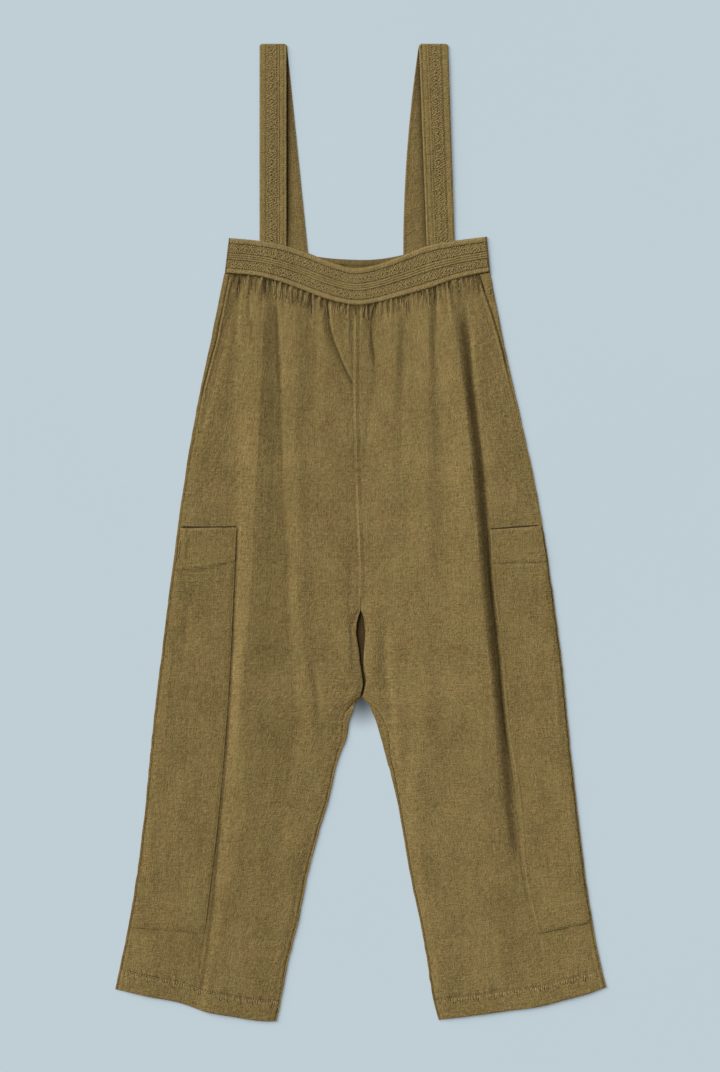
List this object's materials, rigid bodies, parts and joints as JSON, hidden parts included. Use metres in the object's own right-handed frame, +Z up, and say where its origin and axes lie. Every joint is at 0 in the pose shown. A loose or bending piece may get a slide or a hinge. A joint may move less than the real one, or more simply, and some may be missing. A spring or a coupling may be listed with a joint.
{
  "type": "wide-leg jumpsuit",
  "caption": "Wide-leg strapped jumpsuit laid flat: curved waistband, two shoulder straps folded at the top, gathered legs with long patch pockets and turned-up hems.",
  "frame": {"origin": "on the surface that the garment lies on, under the middle of its outline", "axes": "+Y from the hems up to the straps, +X to the viewer's right, +Z up out of the surface"},
  "size_m": [0.6876, 1.3681, 0.0058],
  "materials": {
    "front_gauze": "crinkled olive-brown cotton gauze, matt",
    "back_gauze": "crinkled olive-brown cotton gauze, matt",
    "pocket_gauze": "crinkled olive-brown cotton gauze, matt",
    "band_gauze": "corded and embroidered olive-brown cotton, matt",
    "strap_gauze": "corded and embroidered olive-brown cotton, matt"
  },
  "bodies": {
    "root": {"front_leg_left": "front_gauze", "front_leg_right": "front_gauze", "back_leg_left": "back_gauze", "back_leg_right": "back_gauze", "side_pocket_left": "pocket_gauze", "side_pocket_right": "pocket_gauze", "front_waistband": "band_gauze", "back_waistband": "band_gauze", "strap_left": "strap_gauze", "strap_right": "strap_gauze"}
  },
  "joints": []
}
